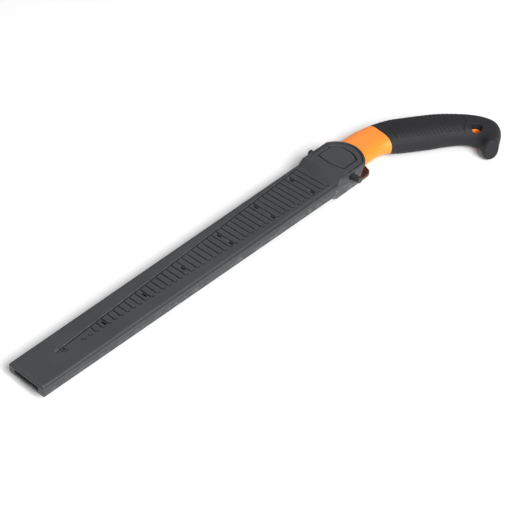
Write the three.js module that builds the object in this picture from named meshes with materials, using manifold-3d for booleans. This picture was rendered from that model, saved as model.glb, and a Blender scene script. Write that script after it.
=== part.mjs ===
// Fixed-blade pruning saw in a rigid scabbard.
// Millimetres. +X runs along the scabbard towards the handle, +Y towards the spine of the blade,
// +Z out of the slotted front face. The origin is on the flat outer face of the belt clip.
import * as THREE from 'three';
import Module from 'manifold-3d';
import { mergeVertices } from 'three/addons/utils/BufferGeometryUtils.js';

const wasm = await Module();
wasm.setup();

// ---------------------------------------------------------------- driving dimensions

const gap = 0.3;                 // between pieces that touch
const slideClearance = 0.5;      // around the handle's nose in the throat

// belt clip
const clipThickness = 2.2;
const clipWidth = 26;
const clipBaseLead = 16;         // from the origin towards the mouth
const clipTongueLength = 106;    // from the origin towards the tip
const clipScrewSpacing = 18;

// scabbard, lengths
const padLead = 19;              // from the pad's start to the origin
const padRamp = 4;
const tipRoom = 18.7;            // from the blade's tip to the scabbard's end
const mouthCornerX = 22;         // where the side walls end at the front
const wallSlant = 9;             // how far the walls lean back at the pad
const mouthBow = 4;              // the mouth arc's radius over the throat's half width
const linerOverhang = 18;        // how far the rear lip stands beyond the mouth corners

// scabbard, widths
const bladeSideRoom = 1.7;       // beside the blade's heel, in the case
const noseSideRoom = 3.1;        // beside the blade's heel, in the throat
const tipTaper = 3;              // the cavity gets narrower towards the tip
const caseWall = 6.2;
const tipCaseWall = 5.8;
const throatWall = 5;
const rimWidth = 2.4;
const tipCornerRadius = 1;
const plateauCornerRadius = 3;

// scabbard, heights from the blade's middle plane
const backWall = 1.9;            // behind the cavity, at the tip
const tipRise = 2.8;             // the case gets thinner towards the tip
const plateauHeight = 5;
const rimDrop = 1.2;
const cavityAbove = 2.7;
const cavityBelow = 2.3;
const throatRoof = 2.2;
const throatFloor = 3.5;
const tipWall = 2.2;

// slotted face
const slotPitch = 6.53;
const slotWidth = 0.9;
const slotDepth = 0.8;
const lastSlotX = -27.6;
const slotTipLead = 57;          // from the scabbard's end to the first slot
const borderLead = 24;           // the long groove starts before the first slot
const borderTipY = 2.1;
const borderThroatY = 19;
const nearTipY = -1.9;
const nearThroatY = -15.6;
const holeLength = 3.4;
const holeWidth = 6.4;
const pairedHoleSlots = [2, 10, 18];   // counted from the throat
const singleHoleSlots = [26, 33, 40];
const pairedHoleY = 12.44;       // at the pair nearest to the throat
const pairedHoleStep = 0.34;     // further in, per slot

// throat ramp and badge
const rampFootX = -22.5;
const rampEdgeX = -18;
const rampCrestX = -13.5;
const badgeDepth = 1.2;
const badgeStartX = -1;
const badgeCornerX = 18.5;
const badgeEndX = 25;
const badgeMargin = 7.4;         // from the throat's side to the badge
const badgeJoint = 0.6;
const frameGrooveInset = 3;
const frameGrooveWidth = 1.2;

// lock bolt
const boltX = 2.3;
const boltRadius = 2.9;
const boltBladeRoom = 0.6;       // over the blade
const boltNoseRoom = 1.5;        // before the handle's nose
const boltNearReach = 8.6;
const boltFarReach = 4.1;
const boltStroke = 4.5;
const stopRibWidth = 3;
const stopRibDepth = 1.5;

// saw blade
const bladeLength = 360;
const bladeThickness = 1.6;
const heelHalfWidth = 15.3;
const toothPitch = 4.2;
const toothDepth = 2.8;
const toothRise = 4.2;           // of the tooth line, from the heel to the tip
const toothHeelLead = 8;         // bare edge at the heel
const toothTipLead = 10;         // bare edge at the tip

// handle
const flareStart = 48;           // along the handle
const flareEnd = 84;
const pommelHalfThickness = 11;
const pommelStart = 122;
const pommelEnd = 176;
const gripWall = 3;
const edgeRound = 5.5;
const gripFrontX = 71.3;
const gripFrontY = -4.5;
const lanyardX = 142;
const lanyardY = -67.2;
const lanyardRadius = 5.6;
const coreEyeInset = 0.5;

// fasteners
const screwRadius = 1.1;
const screwHeadRadius = 1.9;
const screwHeadHeight = 1.4;
const pilotLength = 2.6;         // of a shell screw in the front shell
const screwTipLead = 16;         // from the scabbard's end to the first pair of screws
const lastScrewX = -34;
const screwShares = [0, 0.33, 0.67, 1];
const tangScrewX = [26, 58];
const tangScrewRadius = 1.45;
const tangHeadRadius = 2.9;
const tangHeadHeight = 1.7;
const insertRadius = 3.3;
const insertHeight = 3.4;

// ---------------------------------------------------------------- derived planes

// the throat's room is as deep below the blade as above it, where the lock bolt passes
const throatHalfRoom = bladeThickness / 2 + boltBladeRoom + 2 * boltRadius + gap;
const padZ = clipThickness + gap;
const floorZ = padZ + throatFloor;
const bladeZ = floorZ + throatHalfRoom;
const roofZ = bladeZ + throatHalfRoom;
const throatZ = roofZ + throatRoof;
const cavityTopZ = bladeZ + cavityAbove;
const cavityBottomZ = bladeZ - cavityBelow;
const tipBackZ = cavityBottomZ - backWall;
const caseBackZ = tipBackZ - tipRise;
const plateauZ = bladeZ + plateauHeight;
const rimZ = plateauZ - rimDrop;
const boltZ = roofZ - gap - boltRadius;
const gripHalfThickness = bladeZ;      // the grip's underside lies level with the clip's face

// ---------------------------------------------------------------- derived places in plan

const heelX = boltX + boltRadius + boltNoseRoom;
const noseX = heelX + gap;
const tipX = heelX - bladeLength - tipRoom;
const padX = -padLead;
const rampBackX = padX - padRamp;
const caseLength = padX - tipX;
const throatCavityHalfWidth = heelHalfWidth + bladeSideRoom;
const tipCavityHalfWidth = throatCavityHalfWidth - tipTaper;
const caseHalfWidth = throatCavityHalfWidth + caseWall;
const tipHalfWidth = tipCavityHalfWidth + tipCaseWall;
const throatHalfWidth = heelHalfWidth + noseSideRoom + throatWall;
const badgeHalfWidth = throatHalfWidth - badgeMargin;
const mouthRadius = throatHalfWidth + mouthBow;
const throatInnerHalf = throatHalfWidth - throatWall;
const noseHalfWidth = throatInnerHalf - slideClearance;
const noseHalfThickness = throatHalfRoom - slideClearance;
const mouthCentreX = mouthCornerX - Math.sqrt(mouthRadius ** 2 - throatHalfWidth ** 2);
const plateauTipHalf = tipHalfWidth - rimWidth + 1;
const plateauThroatHalf = caseHalfWidth - rimWidth;
const stopWallX = -12;

// ---------------------------------------------------------------- geometry helpers

const point = (x, y) => new THREE.Vector2(x, y);

// A shape from corners [x, y, radius], each corner rounded by its radius.
function roundedShape(corners) {
  const shape = new THREE.Shape();
  const count = corners.length;
  corners.forEach(([x, y, radius = 0], i) => {
    const here = point(x, y);
    const [bx, by] = corners[(i + count - 1) % count];
    const [ax, ay] = corners[(i + 1) % count];
    const back = point(bx, by).sub(here).normalize().multiplyScalar(radius).add(here);
    const ahead = point(ax, ay).sub(here).normalize().multiplyScalar(radius).add(here);
    if (i === 0) shape.moveTo(back.x, back.y);
    else shape.lineTo(back.x, back.y);
    if (radius > 0) shape.quadraticCurveTo(x, y, ahead.x, ahead.y);
  });
  shape.closePath();
  return shape;
}

// Moves each point of a counter-clockwise loop inwards by a distance.
function inset(loop, distance) {
  const count = loop.length;
  return loop.map((here, i) => {
    const before = loop[(i + count - 1) % count];
    const after = loop[(i + 1) % count];
    const first = here.clone().sub(before).normalize();
    const second = after.clone().sub(here).normalize();
    const normal = point(-first.y - second.y, first.x + second.x).normalize();
    const spread = Math.max(0.5, normal.dot(point(-second.y, second.x)));
    return here.clone().addScaledVector(normal, distance / spread);
  });
}

// The loop of a shape, counter-clockwise and without a doubled last point.
function loopOf(shape, divisions) {
  const loop = shape.getPoints(divisions);
  if (loop[0].distanceTo(loop[loop.length - 1]) < 1e-6) loop.pop();
  const clean = loop.filter((here, i) => here.distanceTo(loop[(i + 1) % loop.length]) > 1e-4);
  return THREE.ShapeUtils.isClockWise(clean) ? clean.reverse() : clean;
}

function prism(shape, low, high, curveSegments = 6) {
  const geometry = new THREE.ExtrudeGeometry(shape, {
    depth: high - low,
    bevelEnabled: false,
    curveSegments,
  });
  return geometry.translate(0, 0, low);
}

// A profile drawn in X and Z, extruded from one Y to another.
function sideways(corners, lowY, highY) {
  const shape = new THREE.Shape(corners.map(([x, z]) => point(x, z)));
  const geometry = new THREE.ExtrudeGeometry(shape, { depth: highY - lowY, bevelEnabled: false });
  return geometry.rotateX(Math.PI / 2).translate(0, highY, 0);
}

function box(x0, x1, y0, y1, z0, z1) {
  const geometry = new THREE.BoxGeometry(x1 - x0, y1 - y0, z1 - z0);
  return geometry.translate((x0 + x1) / 2, (y0 + y1) / 2, (z0 + z1) / 2);
}

function rod(x, y, z0, z1, radius, sides = 20) {
  const geometry = new THREE.CylinderGeometry(radius, radius, z1 - z0, sides);
  return geometry.rotateX(Math.PI / 2).translate(x, y, (z0 + z1) / 2);
}

// A turned piece standing on Z from pairs of radius and height.
function turned(profile, x, y, sides = 20) {
  const geometry = new THREE.LatheGeometry(profile.map(([r, z]) => point(r, z)), sides);
  return geometry.rotateX(Math.PI / 2).translate(x, y, 0);
}

function solid(geometry) {
  const bare = geometry.clone();
  bare.deleteAttribute('normal');
  bare.deleteAttribute('uv');
  const merged = mergeVertices(bare, 1e-4);
  const corners = merged.index.array;
  const places = merged.attributes.position.array;
  const kept = [];
  for (let i = 0; i < corners.length; i += 3) {
    const [a, b, c] = [corners[i], corners[i + 1], corners[i + 2]];
    if (a !== b && b !== c && c !== a) kept.push(a, b, c);
  }
  return new wasm.Manifold(new wasm.Mesh({
    numProp: 3,
    vertProperties: new Float32Array(places),
    triVerts: new Uint32Array(kept),
  }));
}

function geometryOf(body) {
  const mesh = body.getMesh();
  const geometry = new THREE.BufferGeometry();
  geometry.setAttribute('position', new THREE.BufferAttribute(new Float32Array(mesh.vertProperties), 3));
  geometry.setIndex(new THREE.BufferAttribute(new Uint32Array(mesh.triVerts), 1));
  geometry.computeVertexNormals();
  return geometry;
}

const cut = (body, ...tools) => tools.reduce((left, tool) => left.subtract(solid(tool)), body);
const join = (body, ...pieces) => pieces.reduce((left, piece) => left.add(solid(piece)), body);

// ---------------------------------------------------------------- materials and scene

const blackPlastic = new THREE.MeshStandardMaterial({ color: 0x4a4c4f, roughness: 0.5, metalness: 0 });
const badgePlastic = new THREE.MeshStandardMaterial({ color: 0x505152, roughness: 0.4, metalness: 0 });
const maroonPlastic = new THREE.MeshStandardMaterial({ color: 0x32130f, roughness: 0.45, metalness: 0 });
const orangePlastic = new THREE.MeshStandardMaterial({ color: 0xf9863a, roughness: 0.45, metalness: 0 });
const blackRubber = new THREE.MeshStandardMaterial({ color: 0x3a3a3c, roughness: 0.8, metalness: 0 });
const bladeSteel = new THREE.MeshStandardMaterial({ color: 0xc4c7ca, roughness: 0.3, metalness: 1 });
const screwSteel = new THREE.MeshStandardMaterial({ color: 0x8d9094, roughness: 0.35, metalness: 1 });
const brass = new THREE.MeshStandardMaterial({ color: 0xb9963f, roughness: 0.35, metalness: 1 });

const scabbard = new THREE.Group();
const saw = new THREE.Group();

function place(parent, name, body, material) {
  const mesh = new THREE.Mesh(body.isBufferGeometry ? body : geometryOf(body), material);
  mesh.name = name;
  parent.add(mesh);
}

// ---------------------------------------------------------------- shapes shared by the shells

// the scabbard seen from the front, with the side walls running on past the mouth
const caseShape = roundedShape([
  [tipX, -tipHalfWidth, tipCornerRadius],
  [rampBackX, -caseHalfWidth],
  [padX, -throatHalfWidth],
  [mouthCornerX + linerOverhang, -throatHalfWidth],
  [mouthCornerX + linerOverhang, throatHalfWidth],
  [padX, throatHalfWidth],
  [rampBackX, caseHalfWidth],
  [tipX, tipHalfWidth, tipCornerRadius],
]);

const cavityShape = roundedShape([
  [tipX + tipWall, -tipCavityHalfWidth, 2],
  [stopWallX, -throatCavityHalfWidth],
  [stopWallX, throatCavityHalfWidth],
  [tipX + tipWall, tipCavityHalfWidth, 2],
]);

// the throat seen from the front, its mouth end an arc, drawn in by an inset
function throatShape(startX, distance) {
  const half = throatHalfWidth - distance;
  const radius = mouthRadius - distance;
  const angle = Math.asin(Math.min(1, half / radius));
  const shape = new THREE.Shape();
  shape.moveTo(startX, -half);
  shape.lineTo(mouthCentreX + radius * Math.cos(angle), -half);
  shape.absarc(mouthCentreX, 0, radius, -angle, angle, false);
  shape.lineTo(startX, half);
  shape.closePath();
  return shape;
}

// the walls lean back from the front corner of the mouth to the pad
const wallEndX = (z) => mouthCornerX - wallSlant * (roofZ - z) / (roofZ - padZ);
const farX = mouthCornerX + 60;

const cavity = prism(cavityShape, cavityBottomZ, cavityTopZ);
const tipSlot = box(tipX - 1, tipX + tipWall + 3, -tipCavityHalfWidth + 0.4, tipCavityHalfWidth - 0.4,
  cavityBottomZ + gap, cavityTopZ - gap);
const throatRoom = box(stopWallX - gap, farX, -throatInnerHalf, throatInnerHalf, floorZ, roofZ);
const mouthCut = sideways([
  [wallEndX(padZ - 5), padZ - 5],
  [farX, padZ - 5],
  [farX, roofZ],
  [mouthCornerX, roofZ],
], -throatHalfWidth - 5, throatHalfWidth + 5);

const firstScrewX = tipX + screwTipLead;
const screwSpots = screwShares.flatMap((share) => {
  const x = firstScrewX + share * (lastScrewX - firstScrewX);
  const along = (x - tipX) / caseLength;
  const outer = tipHalfWidth + (caseHalfWidth - tipHalfWidth) * along;
  const inner = tipCavityHalfWidth + (throatCavityHalfWidth - tipCavityHalfWidth) * along;
  return [[x, -(outer + inner) / 2], [x, (outer + inner) / 2]];
});
const screwHole = screwRadius + gap;

// ---------------------------------------------------------------- front shell

const slotCount = Math.floor((lastSlotX - tipX - slotTipLead) / slotPitch) + 1;
const slotX = (i) => lastSlotX - i * slotPitch;
const firstSlotX = slotX(slotCount - 1);
const borderStartX = firstSlotX - borderLead;
const borderY = (x) => THREE.MathUtils.mapLinear(x, borderStartX, lastSlotX, borderTipY, borderThroatY);
const nearY = (x) => THREE.MathUtils.mapLinear(x, firstSlotX, lastSlotX, nearTipY, nearThroatY);

function rampCutter() {
  const stations = 10;
  const reach = throatHalfWidth + 3;
  const positions = [];
  const indices = [];
  for (let j = 0; j <= stations; j += 1) {
    const y = -reach + 2 * reach * j / stations;
    const foot = rampFootX + (rampEdgeX - rampFootX) * (y / throatHalfWidth) ** 2;
    const ring = [
      [foot, plateauZ],
      [rampCrestX, throatZ],
      [rampCrestX, throatZ + 5],
      [rampFootX - 12, throatZ + 5],
      [rampFootX - 12, plateauZ],
    ];
    ring.forEach(([x, z]) => positions.push(x, y, z));
  }
  for (let j = 0; j < stations; j += 1) {
    for (let k = 0; k < 5; k += 1) {
      const a = j * 5 + k;
      const b = j * 5 + (k + 1) % 5;
      indices.push(a, b + 5, b, a, a + 5, b + 5);
    }
  }
  for (let k = 1; k < 4; k += 1) {
    const last = stations * 5;
    indices.push(0, k, k + 1, last, last + k + 1, last + k);
  }
  const geometry = new THREE.BufferGeometry();
  geometry.setAttribute('position', new THREE.Float32BufferAttribute(positions, 3));
  geometry.setIndex(indices);
  return geometry;
}

function frontShell() {
  const low = bladeZ + gap / 2;
  const plateauShape = roundedShape([
    [tipX + 1, -plateauTipHalf, plateauCornerRadius],
    [padX + 2, -plateauThroatHalf],
    [padX + 2, plateauThroatHalf],
    [tipX + 1, plateauTipHalf, plateauCornerRadius],
  ]);
  const plateau = new THREE.ExtrudeGeometry(plateauShape, {
    depth: plateauZ - low - 2 * rimDrop,
    bevelThickness: rimDrop,
    bevelSize: 1.6,
    bevelOffset: -1.6,
    bevelSegments: 1,
    curveSegments: 4,
  }).translate(0, 0, low + rimDrop);
  const throat = new THREE.ExtrudeGeometry(throatShape(rampFootX - 1, 0), {
    depth: throatZ - low,
    bevelThickness: 1.6,
    bevelSize: 1.6,
    bevelOffset: -1.6,
    bevelSegments: 2,
    curveSegments: 18,
  }).translate(0, 0, low - 1.6);
  let body = solid(prism(caseShape, low, rimZ));
  body = body.subtract(solid(box(padX, farX, -50, 50, low - 1, throatZ + 1)));
  body = join(body, plateau);
  const throatBody = solid(throat).intersect(solid(box(rampFootX - 5, farX, -50, 50, low, throatZ + 1)));
  body = body.add(throatBody.subtract(solid(rampCutter())));
  body = cut(body, cavity, tipSlot, throatRoom, mouthCut);

  // long groove, slots and their hooked ends
  const top = plateauZ + 1;
  const groove = plateauZ - slotDepth;
  const half = slotWidth / 2;
  const border = new THREE.Shape([
    point(borderStartX, borderTipY - half),
    point(lastSlotX + half, borderThroatY - half),
    point(lastSlotX + half, borderThroatY + half),
    point(borderStartX, borderTipY + half),
  ]);
  let cuts = solid(prism(border, groove, top));
  for (let i = 0; i < slotCount; i += 1) {
    const x = slotX(i);
    cuts = join(cuts, box(x - half, x + half, nearY(x), borderY(x), groove, top));
    const hook = new THREE.Shape([
      point(x - half, nearY(x) + 1.1),
      point(x + half, nearY(x) + 0.6),
      point(x + half + 2.2, nearY(x) - 0.9),
      point(x + half + 1.4, nearY(x) - 1.6),
      point(x - half, nearY(x) - 0.3),
    ]);
    cuts = join(cuts, prism(hook, groove - 0.4, top));
  }
  const mark = box(borderStartX + 4, borderStartX + 10, borderTipY - 5.4, borderTipY - 4.6, groove, top);
  cuts = join(cuts, mark);
  const within = (i) => i < slotCount;
  const holes = [
    ...singleHoleSlots.filter(within).map((i) => [slotX(i), (borderY(slotX(i)) + nearY(slotX(i))) / 2 - 1]),
    ...pairedHoleSlots.filter(within).flatMap((i) => {
      const y = pairedHoleY - pairedHoleStep * (i - pairedHoleSlots[0]);
      return [[slotX(i), y], [slotX(i), -y]];
    }),
  ];
  holes.forEach(([x, y]) => {
    const hole = box(x - holeLength, x + half, y - holeWidth / 2, y + holeWidth / 2, bladeZ + 1, top);
    cuts = join(cuts, hole);
  });
  body = body.subtract(cuts);

  // badge recess, the groove round it and the lock bolt's bores with their stop rib
  body = cut(body, prism(badgeShape(), throatZ - badgeDepth, throatZ + 1, 8));
  const outer = solid(prism(throatShape(badgeStartX - 2, frameGrooveInset), throatZ - 0.7, throatZ + 1, 18));
  const innerShape = throatShape(badgeStartX - 6, frameGrooveInset + frameGrooveWidth);
  const inner = prism(innerShape, throatZ - 2, throatZ + 2, 18);
  body = body.subtract(outer.subtract(solid(inner)));
  body = join(body, box(boltX - boltRadius, boltX + boltRadius, -stopRibWidth / 2, stopRibWidth / 2,
    boltZ + boltRadius - stopRibDepth + gap, roofZ + 0.4));
  const bore = new THREE.CylinderGeometry(boltRadius + gap, boltRadius + gap, throatWall + 4, 24);
  const boreY = throatHalfWidth - throatWall / 2;
  [-boreY, boreY].forEach((y) => {
    body = cut(body, bore.clone().translate(boltX, y, boltZ));
  });

  // pilot holes of the shell screws
  screwSpots.forEach(([x, y]) => {
    body = cut(body, rod(x, y, low - 1, bladeZ + pilotLength + 0.5, screwHole, 16));
  });
  return body;
}

function badgeShape() {
  const shape = new THREE.Shape();
  shape.moveTo(badgeStartX, badgeHalfWidth);
  shape.quadraticCurveTo(badgeStartX - 6, 0, badgeStartX, -badgeHalfWidth);
  shape.lineTo(badgeCornerX, -badgeHalfWidth);
  shape.quadraticCurveTo(badgeEndX - 0.6, -badgeHalfWidth * 0.66, badgeEndX, 0);
  shape.quadraticCurveTo(badgeEndX - 0.6, badgeHalfWidth * 0.66, badgeCornerX, badgeHalfWidth);
  shape.closePath();
  return shape;
}

place(scabbard, 'front_shell', frontShell(), blackPlastic);
const plateLoop = inset(loopOf(badgeShape(), 8), badgeJoint);
place(scabbard, 'badge_plate',
  prism(new THREE.Shape(plateLoop), throatZ - badgeDepth + gap, throatZ), badgePlastic);

// ---------------------------------------------------------------- back shell and mouth liner

const tenonX = clipScrewSpacing / -2 - 5;
const tenonHalf = 11;
const tenonLowZ = padZ + 1.8;
const linerTopZ = floorZ - 0.1;
const linerX = wallEndX(padZ) + gap;

function backShell() {
  const high = bladeZ - gap / 2;
  const profile = sideways([
    [tipX - 1, tipBackZ + tipRise / caseLength],
    [rampBackX, caseBackZ],
    [padX, padZ],
    [wallEndX(padZ), padZ],
    [wallEndX(high), high],
    [tipX - 1, high],
  ], -throatHalfWidth - 5, throatHalfWidth + 5);
  let body = solid(prism(caseShape, padZ - 1, high)).intersect(solid(profile));
  body = cut(body, cavity, tipSlot, throatRoom);
  const recess = box(tenonX - gap, farX, -tenonHalf - gap, tenonHalf + gap, tenonLowZ - gap, floorZ + 1);
  body = cut(body, recess);
  screwSpots.forEach(([x, y]) => {
    body = cut(body, rod(x, y, padZ - 1, bladeZ + 1, screwHole, 16));
    body = cut(body, rod(x, y, padZ - 1, screwSeatZ(x), screwHeadRadius + gap, 16));
  });
  clipScrewX.forEach((x) => {
    body = cut(body, rod(x, 0, padZ - 1, floorZ, clipScrewHole, 16));
  });
  return body;
}

const clipScrewX = [-clipScrewSpacing / 2, clipScrewSpacing / 2];
const clipScrewRadius = 1.4;
const clipScrewHole = clipScrewRadius + gap;
const backZ = (x) => caseBackZ + tipRise * (rampBackX - x) / (rampBackX - tipX);
const screwSeatZ = (x) => backZ(x) + screwHeadHeight + 0.3;

place(scabbard, 'back_shell', backShell(), blackPlastic);

function mouthLiner() {
  const side = throatHalfWidth;
  const end = mouthCornerX + linerOverhang;
  const lip = new THREE.Shape();
  lip.moveTo(linerX, -side);
  lip.lineTo(end - 12, -side);
  lip.quadraticCurveTo(end - 6, -side, end - 4.4, -side + 6);
  lip.quadraticCurveTo(end + 4.4, 0, end - 4.4, side - 6);
  lip.quadraticCurveTo(end - 6, side, end - 12, side);
  lip.lineTo(linerX, side);
  lip.closePath();
  let body = solid(prism(lip, padZ, linerTopZ, 8));
  body = join(body, box(tenonX, linerX + 1, -tenonHalf, tenonHalf, tenonLowZ, linerTopZ));
  const behindWall = (highZ, lowY, highY) => sideways([
    [tenonX - 1, padZ - 1],
    [linerX, padZ - 1],
    [linerX, padZ],
    [wallEndX(highZ) + gap, highZ],
    [tenonX - 1, highZ],
  ], lowY, highY);
  body = cut(
    body,
    behindWall(floorZ, -side - 1, -tenonHalf),
    behindWall(floorZ, tenonHalf, side + 1),
    behindWall(tenonLowZ, -side - 1, side + 1),
  );
  clipScrewX.forEach((x) => {
    body = cut(body, rod(x, 0, padZ, floorZ + 1, clipScrewHole, 16));
  });
  return body;
}

place(scabbard, 'mouth_liner', mouthLiner(), maroonPlastic);

// ---------------------------------------------------------------- belt clip and screws

function beltClip() {
  const end = -clipTongueLength;
  const profile = sideways([
    [clipBaseLead, 0],
    [clipBaseLead, clipThickness],
    [end + 11, clipThickness],
    [end + 8, clipThickness + 1.9],
    [end + 5, clipThickness + 1.9],
    [end, clipThickness - 0.4],
    [end, 1],
    [end + 1.6, 0],
  ], -clipWidth / 2, clipWidth / 2);
  const plan = roundedShape([
    [end - 1, -clipWidth / 2, 8],
    [clipBaseLead, -clipWidth / 2, 4],
    [clipBaseLead, clipWidth / 2, 4],
    [end - 1, clipWidth / 2, 8],
  ]);
  let body = solid(profile).intersect(solid(prism(plan, -1, clipThickness + 4)));
  clipScrewX.forEach((x) => {
    const sink = [[0, -0.2], [3.4, -0.2], [3.2, 0.1], [clipScrewHole, 1.6], [clipScrewHole, 4], [0, 4]];
    body = cut(body, turned(sink, x, 0));
  });
  return body;
}

function socketedScrew(profile, x, y, socketRadius, socketTop) {
  const body = solid(turned(profile, x, y, 16));
  return cut(body, rod(x, y, profile[0][1] - 1, socketTop, socketRadius, 6));
}

place(scabbard, 'belt_clip', beltClip(), blackPlastic);
clipScrewX.forEach((x, i) => {
  const profile = [
    [0, 0.1],
    [2.9, 0.1],
    [clipScrewRadius, 1.6],
    [clipScrewRadius, linerTopZ - 0.3],
    [0, linerTopZ - 0.3],
  ];
  place(scabbard, `clip_screw_${i + 1}`, socketedScrew(profile, x, 0, 1, 1.1), screwSteel);
});
screwSpots.forEach(([x, y], i) => {
  const seat = screwSeatZ(x) - gap;
  const profile = [
    [0, seat - screwHeadHeight],
    [screwHeadRadius, seat - screwHeadHeight],
    [screwHeadRadius, seat],
    [screwRadius, seat],
    [screwRadius, bladeZ + pilotLength],
    [0, bladeZ + pilotLength],
  ];
  const screw = socketedScrew(profile, x, y, 0.8, seat - 0.5);
  place(scabbard, `shell_screw_${i + 1}`, screw, screwSteel);
});

// ---------------------------------------------------------------- lock bolt

function lockBolt() {
  const low = -throatHalfWidth - boltNearReach;
  const high = throatHalfWidth + boltFarReach;
  const edge = 0.7;
  const profile = [
    [0, low],
    [boltRadius - edge, low],
    [boltRadius, low + edge],
    [boltRadius, high - edge],
    [boltRadius - edge, high],
    [0, high],
  ];
  const bar = new THREE.LatheGeometry(profile.map(([r, y]) => point(r, y)), 24).translate(boltX, 0, boltZ);
  const travel = stopRibWidth / 2 + gap;
  const groove = box(boltX - boltRadius - 1, boltX + boltRadius + 1, -travel - boltStroke, travel,
    boltZ + boltRadius - stopRibDepth, boltZ + boltRadius + 1);
  return cut(solid(bar), groove);
}

const lock = new THREE.Group();
place(lock, 'lock_bolt', lockBolt(), badgePlastic);

// ---------------------------------------------------------------- saw blade

const tangLoop = [
  [heelX, 13],
  [36, 13],
  [62, 9],
  [96, -11],
  [90, -24],
  [60, -11],
  [36, -12],
  [heelX, -12],
];

function sawBlade() {
  const tip = heelX - bladeLength;
  const spineTip = tip + 24;
  const outline = new THREE.Shape();
  outline.moveTo(tangLoop[0][0], tangLoop[0][1]);
  tangLoop.slice(1).forEach(([x, y]) => outline.lineTo(x, y));
  outline.lineTo(heelX, -heelHalfWidth + toothDepth);
  const toothedLength = bladeLength - toothHeelLead - toothTipLead;
  const rise = toothRise / toothedLength;
  const count = Math.floor(toothedLength / toothPitch);
  const start = heelX - toothHeelLead;
  for (let i = 0; i < count; i += 1) {
    const root = start - i * toothPitch;
    const crest = root - toothPitch * 0.62;
    outline.lineTo(root, -heelHalfWidth + toothDepth + rise * (start - root));
    outline.lineTo(crest, -heelHalfWidth + rise * (start - crest));
  }
  const endX = start - count * toothPitch;
  outline.lineTo(endX, -heelHalfWidth + toothDepth + rise * (start - endX));
  outline.lineTo(tip + 1, -8.5);
  outline.lineTo(tip, -6.5);
  outline.quadraticCurveTo(tip + 6, 4, spineTip, 7);
  outline.lineTo(heelX - 6, heelHalfWidth);
  outline.lineTo(heelX, heelHalfWidth - 1.5);
  outline.closePath();
  const plate = prism(outline, bladeZ - bladeThickness / 2, bladeZ + bladeThickness / 2);
  const holes = tangScrewX.map((x) => rod(x, 0, bladeZ - 3, bladeZ + 3, tangScrewRadius + gap, 16));
  return cut(solid(plate), ...holes);
}

place(saw, 'saw_blade', sawBlade(), bladeSteel);

// ---------------------------------------------------------------- handle

const handleHeading = new THREE.Vector2(0.87, -0.5).normalize();
const gripHeading = new THREE.Vector2(0.97, -0.243).normalize();

const handleShape = new THREE.Shape();
handleShape.moveTo(noseX, -noseHalfWidth);
handleShape.lineTo(22, -noseHalfWidth);
handleShape.splineThru([
  [31, -17.7], [39, -17.5], [47, -17.6], [55, -18.2], [64, -20.3], [73.5, -25.6], [88.5, -35.7],
  [103, -45.2], [113.6, -51.2], [121, -56.7], [128, -63.2], [132, -68.7], [134, -74.7],
  [132.6, -81], [130, -87], [132, -93],
  [138.4, -95.6], [146.5, -92], [155, -86.2], [162, -80.4], [167, -72.7], [168.5, -64.7],
  [166.5, -56.7], [160.5, -47.7], [152, -37.1], [133.3, -20.9], [104.3, -1.7], [84, 11], [73, 16],
  [58, 18.8], [48, 19.1], [39, 19], [30, 18.5], [22, noseHalfWidth],
].map(([x, y]) => point(x, y)));
handleShape.lineTo(noseX, noseHalfWidth);
handleShape.closePath();
const handleLoop = loopOf(handleShape, 2);

function halfThickness(x, y) {
  const along = x * handleHeading.x + y * handleHeading.y;
  const flare = THREE.MathUtils.smoothstep(along, flareStart, flareEnd);
  const fall = THREE.MathUtils.smoothstep(along, pommelStart, pommelEnd);
  const full = gripHalfThickness + (pommelHalfThickness - gripHalfThickness) * fall;
  return noseHalfThickness + (full - noseHalfThickness) * flare;
}

// The handle's rounded body, drawn in on every side by a distance.
function handleBody(distance) {
  const loop = distance === 0 ? handleLoop : inset(handleLoop, distance);
  const round = edgeRound - distance;
  const unit = gripHalfThickness;
  const roundDepth = unit * 0.8;
  const geometry = new THREE.ExtrudeGeometry(new THREE.Shape(loop), {
    depth: 2 * (unit - roundDepth),
    bevelThickness: roundDepth,
    bevelSize: round,
    bevelOffset: -round,
    bevelSegments: 3,
  }).translate(0, 0, roundDepth - unit);
  const places = geometry.attributes.position;
  for (let i = 0; i < places.count; i += 1) {
    const half = halfThickness(places.getX(i), places.getY(i)) - distance;
    places.setZ(i, bladeZ + places.getZ(i) * half / unit);
  }
  return solid(geometry);
}

// everything behind the grip's front plane, moved along the grip by a shift
function behindFront(shift) {
  const block = new THREE.BoxGeometry(400, 400, 400).translate(200, 0, 0);
  block.rotateZ(Math.atan2(gripHeading.y, gripHeading.x));
  const frontX = gripFrontX + gripHeading.x * shift;
  const frontY = gripFrontY + gripHeading.y * shift;
  return solid(block.translate(frontX, frontY, bladeZ));
}

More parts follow.
